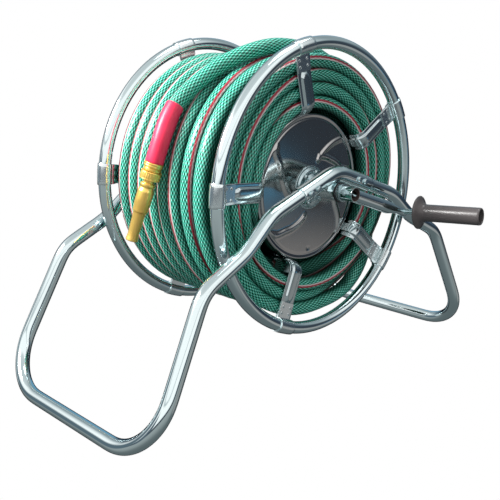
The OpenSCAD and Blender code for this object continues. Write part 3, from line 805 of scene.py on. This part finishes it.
collar = turned("collar_knurled", [(10.6, 12.1), (13.6, 12.1), (14.4, 12.7), (14.5, 13.5), (14.0, 14.1), (14.15, 14.3), (14.15, 21.8), (14.0, 22.0), (14.5, 22.5),
                                   (14.4, 23.3), (13.6, 23.8), (11, 24.4), (7.72, 24.4), (7.72, 21), (10.6, 21)],
                BRASS, "reel", "brass", ("nozzle_collar",), n=120, r=0.18, mod=knurl)
stem = turned("stem_turned",
              [(0.0, 13.8), (10.3, 13.8), (10.3, 20.8), (7.5, 20.8), (7.5, 50), (7, 51), (7, 60), (6, 62), (5.2, 90), (3.9, 97), (2.5, 99.5), (0.0, 99.8)],
              BRASS, "reel", "brass", ("nozzle_stem",), closed=False)
barrel = turned("barrel_turned", [(7.58, 29.2), (7.8, 29), (9.8, 29), (10.4, 29.8), (10.4, 33), (9.7, 34), (9.7, 35.6), (11.3, 40), (11.5, 50), (11.4, 59), (10.8, 62.5), (10.7, 66.5),
                                  (10.5, 69), (9.2, 70.6), (8.8, 73), (8.3, 84), (7.9, 96), (7.75, 104), (8.2, 107.5), (8.65, 111), (8.3, 111.9),
                                  (6.4, 112), (3.3, 108), (3.2, 100), (7.0, 86.5), (7.62, 86), (7.62, 47.5), (7.62, 44.5)],
                BRASS, "nozzle_barrel", "brass", ("nozzle_barrel",), n=72, r=0.5)

start = hub_pt(ANCHOR_X, 121.7, 248) * K

# ------------------------------------------------------------------ stand
FLOOR_X, FLOOR_Y, APEX = 167.0, 346.0, HUB + 27.5


def leg_pt(q, y, z):
    return vec(q * (FLOOR_X - 0.0762 * (z - 10)), y, z)


PROF = [(0, APEX), (131, HUB - 17), (180, HUB - 58), (251, HUB - 92), (FLOOR_Y, 10.0)]
for s, nm in ((-1, "front"), (1, "rear")):
    right = [leg_pt(1, s * y, z) for y, z in PROF]
    left = [leg_pt(-1, s * y, z) for y, z in PROF]
    pts = ([right[0] + 21 * unit(right[1] - right[0])] + right[1:] + left[:0:-1] + [left[0] + 21 * unit(left[1] - left[0])])
    path = Path(bent_points(pts, [60, 60, 45, 72, 72, 45, 60, 60]), vec(1, 0, 0))
    Builder().add(*wall_tube(path, 10.0, 8.8, n=40)).make(nm + "_leg_tube", TUBE, "stand", "polished_tube", nodes=(nm + "_leg_frame",))

for q, nm in ((1, "right"), (-1, "left")):
    a, f, b = leg_pt(q, 0, APEX), leg_pt(q, -131, HUB - 17), leg_pt(q, 131, HUB - 17)
    path = Path(bent_points([a + 79 * unit(f - a), a, a + 75 * unit(b - a)], [45]), vec(1, 0, 0))
    B = Builder().add(*wall_tube(path, 11.5, 10.1, edge=0.5, n=48))
    t0, t1 = 184.9, -4.9
    arc = [(13.05 * math.cos(math.radians(t)), 13.05 * math.sin(math.radians(t))) for t in np.linspace(t0, t1, 25)]
    poly = [(-30, 13), (-20, 4)] + arc + [(20, 4), (30, 13), (22, 20), (-22, 20)]
    B.add(*prism(poly, 143, 146, lambda x, y, z: vec(q * x, y, HUB + z)))
    B.make("saddle_%s_bent" % nm, TUBE, "stand", "polished_tube", nodes=("saddle_" + nm,))


def on_axis(name, prof, mat, body, slot, nodes, q=1, n=64, r=0.3, mod=None):
    p = X_AXIS if q > 0 else line(vec(0, 0, HUB), vec(-100, 0, HUB), vec(0, 1, 0))
    return turned(name, prof, mat, body, slot, nodes, n=n, r=r, path=p, mod=mod)


for q, nm in ((1, "right"), (-1, "left")):
    on_axis("housing_" + nm, [(11.5, 127), (13, 127), (13, 152), (11.5, 152)], TUBE, "stand", "polished_tube", ("bearing_housing_" + nm,), q)
    on_axis("bush_ring_" + nm, [(10.08, 127), (11.48, 127), (11.48, 152), (14, 152), (14, 154.5), (10.08, 154.5)], BUSH, "stand", "bush_plastic",
            ("bush_" + nm,), q)
    on_axis("hub_flange_%s_pressed" % nm,
            [(10.05, 97.52), (31, 97.52), (31.5, 98.2), (31.1, 99.2), (29.6, 99.3), (28.6, 99.0), (27.2, 100.4), (26.0, 101.7), (22, 102.4), (16.2, 103.2),
             (14.2, 104.6), (13, 107.4), (12.6, 108), (10.05, 108)], ZINC, "reel", "polished_sheet", ("hub_flange_" + nm,), q, n=72, r=0.6)

on_axis("axle_tube", [(8.5, -172), (10, -172), (10, 180), (8.5, 180)], AXLE, "reel", "polished_tube", ("axle",), n=56, r=0.4)
on_axis("spacer_turned", [(10.3, 154.8), (12.5, 154.8), (12.5, 159.9), (10.3, 159.9)], ZINC, "reel", "zinc_hardware", ("axle_spacer",))

# ------------------------------------------------------------------ rings, straps and clips
for q, nm in ((1, "right"), (-1, "left")):
    N, n = 200, 36
    v, f = [], []
    for i in range(N):
        a = 360 * i / N
        for k in range(n):
            w = 2 * math.pi * k / n
            v.append(hub_pt(q * (121 + 9 * math.sin(w)), 200 + 9 * math.cos(w), a))
            i2, k2 = (i + 1) % N, (k + 1) % n
            f.append([i * n + k, i2 * n + k, i2 * n + k2, i * n + k2])
    Builder().add(v, f).make("ring_tube_" + nm, TUBE, "reel", "polished_tube", nodes=("ring_" + nm,), sharp=0)

STRAPS = [32, 104, 176, 248, 320]
BAR, T_, FACE, BEND = 108.9, 1.6, 116.8, 14.6


def strap_line():
    """Half of the strap's outer-face line as (x, rho) with its inward normal, from the middle to the clip."""
    rows = []
    for x in np.linspace(0, FACE - BEND, 14):
        rows.append((x, BAR, 0, -1))
    for a in np.linspace(0, 90, 15)[1:]:
        w = math.radians(a)
        rows.append((FACE - BEND + BEND * math.sin(w), BAR + BEND - BEND * math.cos(w), math.sin(w), -math.cos(w)))
    for r in list(np.linspace(BAR + BEND, 156, 12)[1:]) + [158, 160, 161.5, 163, 164.2, 165.4, 166.5, 168, 176, 184, 190.2]:
        rows.append((FACE, r, 1, 0))
    return rows


def rib_height(y, d):
    """Height of the pressed rib at y across the strap, d before its end."""
    half = 8.6 - 2.6 * (1 - smooth01(d / 9.0))
    if d <= 0:
        return 0.0
    h = smooth01((half - abs(y)) / 3.1) * (2.6 - 0.35 * (abs(y) / 6.0) ** 2 * (abs(y) < 6))
    return h * math.sqrt(max(0.0, 1 - (1 - min(1.0, d / 7.5)) ** 2))


def build_strap(i):
    half = strap_line()
    rows = [(-x, r, -nx, nr) for x, r, nx, nr in half[:0:-1]] + half
    ys = [-13.5, -13.2, -11.5, -9.6, -8.6, -8.0, -7.4, -6.8, -6.2, -5.4, -4, -2, 0, 2, 4, 5.4, 6.2, 6.8, 7.4, 8.0, 8.6, 9.6, 11.5, 13.2, 13.5]
    m = len(ys)
    phi = math.radians(STRAPS[i])
    out, side = vec(0, math.cos(phi), math.sin(phi)), vec(0, -math.sin(phi), math.cos(phi))
    v, f = [], []
    for x, r, nx, nr in rows:
        c = vec(x, 0, HUB) + out * r
        nn = vec(nx, 0, 0) + out * nr
        d = 166.5 - r if abs(abs(x) - FACE) < 1e-6 else 40.0
        loop = []
        for y in ys:
            e = 0.25 if abs(y) > 13.4 else 0.0
            loop.append(c + side * y + nn * (rib_height(y, d) - e))
        for y in reversed(ys):
            e = 0.25 if abs(y) > 13.4 else 0.0
            loop.append(c + side * y + nn * (rib_height(y * 1.02, d) - T_ + e))
        v.extend(loop)
    L = 2 * m
    for a in range(len(rows) - 1):
        for k in range(L):
            k2 = (k + 1) % L
            f.append([a * L + k, (a + 1) * L + k, (a + 1) * L + k2, a * L + k2])
    for a in (0, len(rows) - 1):
        for k in range(m - 1):
            quad = [a * L + k, a * L + k + 1, a * L + L - 2 - k, a * L + L - 1 - k]
            f.append(quad)
    Builder().add(v, f).make("strap_%d_pressed" % (i + 1), SHEET, "reel", "polished_sheet", nodes=("strap_%d" % (i + 1),), sharp=45)


for i in range(5):
    build_strap(i)


def clip_outline():
    """The clip's section, as (x, rho), round the ring tube and down both faces of the strap."""
    def arc(r, a0, a1, k):
        return [(121 + r * math.cos(math.radians(a)), 200 + r * math.sin(math.radians(a))) for a in np.linspace(a0, a1, k)]
    ao = math.degrees(math.atan2(-10.147, -2.7))
    al = math.degrees(math.atan2(-7.547, -7.3)) + 360
    ai0 = math.degrees(math.atan2(-6.92, -5.8)) + 360
    ai1 = math.degrees(math.atan2(-7.99, -4.2))
    pts = [(118.3, 167.2), (118.3, 188.0)] + arc(10.5, ao, al, 44) + [(113.7, 186.2), (114.0, 186), (115.0, 186), (115.2, 186.2)]
    pts += arc(9.03, ai0, ai1, 44) + [(116.82, 167.2), (117.0, 167.0), (118.1, 167.0)]
    return pts


def build_clips(q, nm):
    sec = clip_outline()
    m = len(sec)
    B = Builder()
    for phi in STRAPS:
        v, f = [], []
        angs = [-4.3, -4.22, -3.0, -1.5, 0, 1.5, 3.0, 4.22, 4.3]
        cx = np.array(sec)
        # edges pulled in a touch at both ends, for a soft cut edge
        nxt, prv = np.roll(cx, -1, 0), np.roll(cx, 1, 0)
        tan = nxt - prv
        tan /= np.linalg.norm(tan, axis=1)[:, None]
        nrm = np.stack([tan[:, 1], -tan[:, 0]], 1)
        area = 0.5 * np.sum(cx[:, 0] * nxt[:, 1] - nxt[:, 0] * cx[:, 1])
        nrm *= -1 if area > 0 else 1
        for a in angs:
            ring = cx + nrm * (0.22 if abs(a) > 4.25 else 0)
            for x, r in ring:
                v.append(hub_pt(q * x, r, phi + a))
        for k in range(len(angs) - 1):
            for i in range(m):
                j = (i + 1) % m
                f.append([k * m + i, k * m + j, (k + 1) * m + j, (k + 1) * m + i])
        f.append(list(range(m))[::-1])
        f.append([(len(angs) - 1) * m + i for i in range(m)])
        B.add(v, f)
        # spot welds on the plate: shallow dimpled studs
        for dr, dy in ((173.5, -7.4), (173.5, 7.4), (182.5, -7.4), (182.5, 7.4)):
            c = hub_pt(q * 118.3, dr, phi)
            s = vec(0, -math.sin(math.radians(phi)), math.cos(math.radians(phi)))
            p0 = c + s * dy
            pth = line(p0, p0 + vec(q * 10, 0, 0))
            B.add(*lathe(pth, [(-0.3, 0), (-0.3, 2.3), (0.05, 2.3), (0.28, 2.0), (0.3, 1.7), (0.12, 1.1), (0.02, 0)], 20))
    return B.make("clips_%s_pressed" % nm, CLIP, "reel", "polished_sheet", nodes=("ring_clips_" + nm,), sharp=38)


for q, nm in ((1, "right"), (-1, "left")):
    build_clips(q, nm)

# ------------------------------------------------------------------ pressed end discs
RIBS = [[(96, 138), (88, 144), (73, 149), (56, 168), (44, 189)],
        [(100, 214), (90, 222), (76, 229), (58, 243), (40, 258)],
        [(96, 43), (80, 50), (60, 58), (41, 66)],
        [(100, 8), (86, 13), (72, 19), (58, 40), (47, 66)],
        [(100, 312), (86, 322), (68, 331), (52, 345), (42, 358)]]


def rib_field(y, z):
    """Height of the swirl ribs at points (y, z) of the disc."""
    h = np.zeros_like(y)
    for rib in RIBS:
        pts = []
        rr = np.array([p[0] for p in rib], float)
        aa = np.array([p[1] for p in rib], float)
        t = np.linspace(0, len(rib) - 1, 40)
        r, a = np.interp(t, range(len(rib)), rr), np.radians(np.interp(t, range(len(rib)), aa))
        px, pz = r * np.cos(a), r * np.sin(a)
        best = np.full_like(y, 1e9)
        for i in range(len(t) - 1):
            ax, az, bx, bz = px[i], pz[i], px[i + 1], pz[i + 1]
            ux, uz = bx - ax, bz - az
            L2 = ux * ux + uz * uz
            w = np.clip(((y - ax) * ux + (z - az) * uz) / L2, 0, 1)
            best = np.minimum(best, (y - ax - w * ux) ** 2 + (z - az - w * uz) ** 2)
        d = np.sqrt(best)
        h = np.maximum(h, 1.7 * smooth01((5.2 - d) / 4.2))
    return h


def build_disc(q, nm):
    outer = [(10.12, 97.5)] + [(r, 97.5) for r in np.linspace(14, 95, 42)] + \
            [(96.5, 97.3), (97.6, 96.9), (98.8, 96.75), (100, 97.0), (101.2, 97.5), (102.4, 97.75), (103.6, 97.6), (104.6, 97.0), (105.4, 96.1),
             (105.9, 94.8), (106.15, 93), (106.2, 90), (106.2, 84.2)]
    inner = [(106.1, 84.0), (105.1, 84.0), (105.0, 84.2), (105.0, 90), (104.9, 93), (104.3, 95), (103, 96.3), (101.2, 96.2), (99, 95.6), (96, 96.3)] + \
            [(r, 96.3) for r in np.linspace(94, 14, 20)] + [(10.12, 96.3)]
    N = 288
    ang = np.radians(np.linspace(0, 360, N, endpoint=False))
    v, f = [], []
    rows = outer + inner
    for r, x in rows:
        y, z = r * np.cos(ang), r * np.sin(ang)
        face = 14 <= r <= 99 and x > 96
        h = rib_field(y, z) * (smooth01((99 - r) / 5) if face else 0) * (smooth01((r - 36) / 6))
        # shallow round dimple
        if face:
            py, pz = 89.6 * math.cos(math.radians(270)), 89.6 * math.sin(math.radians(270))
            h = h - 0.9 * smooth01((2.6 - np.hypot(y - py, z - pz)) / 1.2)
        for k in range(N):
            v.append((q * (x + h[k] if face else x), y[k], HUB + z[k]))
    for a in range(len(rows)):
        b = (a + 1) % len(rows)
        for k in range(N):
            k2 = (k + 1) % N
            f.append([a * N + k, a * N + k2, b * N + k2, b * N + k])
    Builder().add(v, f).make("end_disc_%s_pressed" % nm, PAN, "reel", "polished_sheet", nodes=("end_disc_" + nm,), sharp=50)


for q, nm in ((1, "right"), (-1, "left")):
    build_disc(q, nm)

# ------------------------------------------------------------------ crank
CX = 169.6
DROP = math.radians(18.3)
ARM = vec(0, math.cos(DROP), -math.sin(DROP))
ARM_Y = np.cross(ARM, vec(1, 0, 0))
HUB_AT = vec(CX, 0, HUB)


def build_arm():
    n = 48
    ang = np.linspace(0, 2 * math.pi, n, endpoint=False)

    def section(s):
        w = smooth01((s - 92.5) / 21.5)
        round_ = np.stack([9.5 * np.cos(ang), 9.5 * np.sin(ang)], 1)
        # lozenge 22.4 by 11.4: half circles 5.7 at +-5.5
        hx, hr = 5.5, 5.7
        c, s_ = np.cos(ang), np.sin(ang)
        loz = np.stack([np.clip(c * 2.4, -1, 1) * hx + hr * c, hr * np.sign(s_) * np.abs(s_) ** 0.9], 1)
        return round_ * (1 - w) + loz * w

    v, f = [], []
    rings = 0
    for s, shrink in [(0, 0)] + [(x, 0) for x in np.linspace(14, 92, 10)] + [(x, 0) for x in np.linspace(94.5, 114, 12)] + \
            [(120, 0), (127, 0), (132.5, 0), (134.0, 0.25), (134.8, 0.8), (135, 1.5)]:
        sec = section(max(s, 1.0))
        if shrink:
            sec = sec * (1 - shrink / np.linalg.norm(sec, axis=1))[:, None]
        for x, y in sec:
            along = math.sqrt(max(0.0, 100.0 - y * y)) - 0.15 if s == 0 else s
            v.append(HUB_AT + ARM * along + vec(1, 0, 0) * x + ARM_Y * y)
        rings += 1
    for a in range(rings - 1):
        for k in range(n):
            k2 = (k + 1) % n
            f.append([a * n + k, a * n + k2, (a + 1) * n + k2, (a + 1) * n + k])
    f.append(list(range(n)))
    f.append([(rings - 1) * n + k for k in range(n)])
    Builder().add(v, f).make("crank_arm_formed", TUBE, "reel", "polished_tube", nodes=("crank_arm",), sharp=50)


build_arm()

SPIN = unit(vec(0.983, 0.165, 0.06))
SPIN_AT = HUB_AT + 127 * ARM
SPIN_LINE = line(SPIN_AT, SPIN_AT + SPIN * 100)
turned("spindle_turned", [(0.0, -10.9), (3.6, -10.9), (4, -10.3), (4, 26.9), (6.5, 26.9), (6.5, 28.7), (4, 28.7), (4, 117.8), (3.4, 118.5), (0.0, 118.5)],
       ZINC, "reel", "zinc_hardware", ("grip_spindle",), n=40, path=SPIN_LINE, closed=False)
G = 29.0
turned("grip_moulded", [(4.08, G), (16.5, G), (19.5, G + 0.35), (22, G + 1.2), (24, G + 2.6), (24.5, G + 3.7), (24, G + 4.8), (22, G + 6), (19.5, G + 7.2), (17, G + 8.6),
                        (14.9, G + 10.2), (13.3, G + 12.2), (12.6, G + 14.5), (12.5, G + 17), (12.45, G + 55), (12.5, G + 93), (12.1, G + 94.8), (11.4, G + 95.5), (10.2, G + 95.5),
                        (9.6, G + 94.6), (9.5, G + 84), (9.0, G + 83.5), (4.08, G + 83.5)],
       GRIP, "grip", "grip_plastic", ("grip",), n=72, r=0.7, path=SPIN_LINE, sharp=40)

# ------------------------------------------------------------------ light and world
def area(name, at, look, size, power, colour=(1, 1, 1), size_y=None):
    d = bpy.data.lights.new(name, "AREA")
    d.energy = power
    d.color = colour
    d.shape = "RECTANGLE"
    d.size = size
    d.size_y = size_y or size
    o = bpy.data.objects.new(name, d)
    o.location = at
    o.rotation_mode = "QUATERNION"
    o.rotation_quaternion = (Vector(look) - Vector(at)).to_track_quat("-Z", "Y")
    scene.collection.objects.link(o)
    return o


area("key", (-0.85, -1.75, 1.65), (0, 0, 0.28), 0.85, 150, (1.0, 0.99, 0.97))
area("top", (0.3, 0.5, 2.2), (0, 0, 0.2), 0.9, 9, (0.97, 0.985, 1.0))


def make_world():
    w = bpy.data.worlds.new("studio")
    scene.world = w
    w.use_nodes = True
    t = w.node_tree
    t.nodes.clear()

    def node(kind, **p):
        n = t.nodes.new(kind)
        for k, v in p.items():
            setattr(n, k, v)
        return n

    out = node("ShaderNodeOutputWorld")
    mixer = node("ShaderNodeMixShader")
    white = node("ShaderNodeBackground")
    white.inputs[0].default_value = (1, 1, 1, 1)
    room = node("ShaderNodeBackground")
    path = node("ShaderNodeLightPath")
    co = node("ShaderNodeTexCoord")
    sep = node("ShaderNodeSeparateXYZ")
    t.links.new(co.outputs["Generated"], sep.inputs[0])
    def along_dir(direction):
        d = node("ShaderNodeVectorMath", operation="DOT_PRODUCT")
        t.links.new(co.outputs["Generated"], d.inputs[0])
        d.inputs[1].default_value = tuple(vec(*direction))
        return d.outputs["Value"]

    def step(value, lo, hi):
        m = node("ShaderNodeMapRange", interpolation_type="SMOOTHSTEP")
        t.links.new(value, m.inputs[0])
        m.inputs[1].default_value, m.inputs[2].default_value = lo, hi
        return m.outputs[0]

    def colours(value, stops):
        half = node("ShaderNodeMath", operation="MULTIPLY_ADD")
        t.links.new(value, half.inputs[0])
        half.inputs[1].default_value = 0.5
        half.inputs[2].default_value = 0.5
        ramp = node("ShaderNodeValToRGB")
        els = ramp.color_ramp.elements
        while len(els) > 1:
            els.remove(els[-1])
        els[0].position, els[0].color = stops[0][0] * 0.5 + 0.5, (*stops[0][1], 1)
        for z, c in stops[1:]:
            e = els.new(z * 0.5 + 0.5)
            e.color = (*c, 1)
        t.links.new(half.outputs[0], ramp.inputs[0])
        return ramp.outputs[0]

    def over(base, fac, colour):
        m = node("ShaderNodeMix", data_type="RGBA")
        t.links.new(fac, m.inputs[0])
        t.links.new(base, m.inputs[6])
        if isinstance(colour, tuple):
            m.inputs[7].default_value = (*colour, 1)
        else:
            t.links.new(colour, m.inputs[7])
        return m.outputs[2]

    # the side behind the camera is a white wall and ceiling, the far side a dim room; both have a dark skirting line
    z = sep.outputs[2]
    dim = colours(z, [(-1, (0.12, 0.14, 0.145)), (-0.5, (0.13, 0.15, 0.155)), (-0.25, (0.18, 0.19, 0.19)), (-0.16, (0.13, 0.14, 0.145)),
                      (-0.1, (0.05, 0.06, 0.07)), (-0.04, (0.015, 0.025, 0.04)), (0.06, (0.02, 0.035, 0.06)), (0.12, (0.06, 0.08, 0.11)),
                      (0.3, (0.11, 0.145, 0.17)), (0.45, (0.33, 0.37, 0.39)), (0.7, (0.28, 0.32, 0.34)), (1, (0.55, 0.57, 0.58))])
    lit = colours(z, [(-1, (0.12, 0.14, 0.145)), (-0.75, (0.16, 0.18, 0.185)), (-0.45, (0.29, 0.31, 0.31)), (-0.2, (0.35, 0.37, 0.37)),
                      (-0.1, (0.28, 0.30, 0.31)), (-0.075, (0.02, 0.03, 0.04)), (0.0, (0.02, 0.03, 0.045)), (0.03, (0.7, 0.72, 0.74)),
                      (0.08, (1.1, 1.06, 1.05)), (0.30, (1.12, 1.07, 1.05)), (0.33, (0.42, 0.46, 0.48)), (0.36, (1.1, 1.06, 1.05)),
                      (0.72, (1.1, 1.06, 1.05)), (0.8, (0.7, 0.7, 0.7)), (1, (0.6, 0.62, 0.63))])
    col = over(dim, step(along_dir((0.5, -0.866, 0.3)), -0.35, 0.2), lit)
    col = over(col, step(along_dir(unit(vec(-0.77, -0.64, 0.0))), 0.93, 0.985), (0.11, 0.15, 0.18))
    col = over(col, step(along_dir(unit(vec(-0.33, -0.94, 0.04))), 0.972, 0.988), (0.10, 0.13, 0.16))
    behind = colours(z, [(-1, (0.06, 0.07, 0.075)), (-0.6, (0.03, 0.036, 0.04)), (-0.3, (0.01, 0.014, 0.018)), (0.02, (0.008, 0.012, 0.018)),
                         (0.1, (0.04, 0.07, 0.10)), (0.3, (0.15, 0.2, 0.24)), (0.45, (0.33, 0.37, 0.39)), (1, (0.5, 0.52, 0.53))])
    col = over(col, step(along_dir(unit(vec(-0.69, 0.70, -0.2))), 0.5, 0.74), behind)
    col = over(col, step(along_dir(unit(vec(-0.65, 0.70, 0.3))), 0.93, 0.985), (0.16, 0.34, 0.48))
    col = over(col, step(along_dir(unit(vec(-0.96, -0.26, -0.04))), 0.976, 0.988), (0.60, 0.66, 0.68))
    col = over(col, step(along_dir(unit(vec(0.62, 0.70, 0.02))), 0.95, 0.985), (0.045, 0.055, 0.07))
    col = over(col, step(along_dir(unit(vec(0.61, 0.68, -0.41))), 0.972, 0.988), (0.33, 0.315, 0.31))
    col = over(col, step(along_dir(unit(vec(0.70, 0.70, -0.155))), 0.9984, 0.9997), (0.12, 0.36, 0.56))
    t.links.new(col, room.inputs[0])
    room.inputs[1].default_value = 1.0
    t.links.new(path.outputs["Is Camera Ray"], mixer.inputs[0])
    t.links.new(room.outputs[0], mixer.inputs[1])
    t.links.new(white.outputs[0], mixer.inputs[2])
    t.links.new(mixer.outputs[0], out.inputs[0])


make_world()


scene.view_settings.view_transform = "Standard"

bpy.context.view_layer.update()
